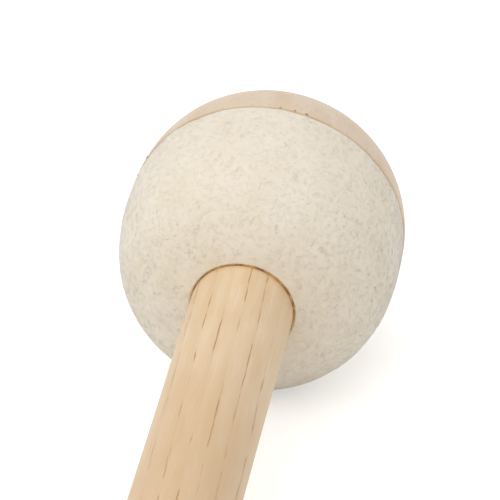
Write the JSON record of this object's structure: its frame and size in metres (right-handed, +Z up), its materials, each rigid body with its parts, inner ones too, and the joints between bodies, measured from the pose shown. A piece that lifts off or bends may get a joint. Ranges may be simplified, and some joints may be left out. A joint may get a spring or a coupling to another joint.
{
  "type": "bass drum mallet",
  "caption": "Drum mallet with a thick straight wooden handle and a round head: short cream fleece on the handle side, a smooth turned wooden cap on the far side.",
  "frame": {"origin": "middle of the underside of the bounding box, on the surface that the mallet lies on", "axes": "+Z up from the surface, +Y along the mallet from the handle's butt to the head; the mallet's own axis rises 3.46 degrees towards the head, because the head and the butt both rest on the surface"},
  "size_m": [0.062, 0.368, 0.0622],
  "materials": {
    "handle_ash": "sanded bare ash with open pores, satin",
    "cap_maple": "fine-sanded pale maple, matt",
    "inner_wood": "turned beech, as cut",
    "hard_felt": "dense pressed felt",
    "soft_felt": "soft pressed felt",
    "wool_fleece": "short dense cream wool pile",
    "waxed_thread": "waxed linen thread",
    "amber_glue": "clear amber set glue, glossy"
  },
  "bodies": {
    "root": {"handle": "handle_ash", "tenon_wedge": "inner_wood", "head_core": "inner_wood", "cap": "cap_maple", "cap_dowel_1": "inner_wood", "cap_dowel_2": "inner_wood", "cap_dowel_3": "inner_wood", "felt_ring_1": "hard_felt", "felt_ring_2": "hard_felt", "felt_ring_3": "hard_felt", "neck_ring": "hard_felt", "felt_jacket": "soft_felt", "fleece_cover": "wool_fleece", "rim_binding": "waxed_thread", "neck_glue_bead": "amber_glue"}
  },
  "joints": []
}
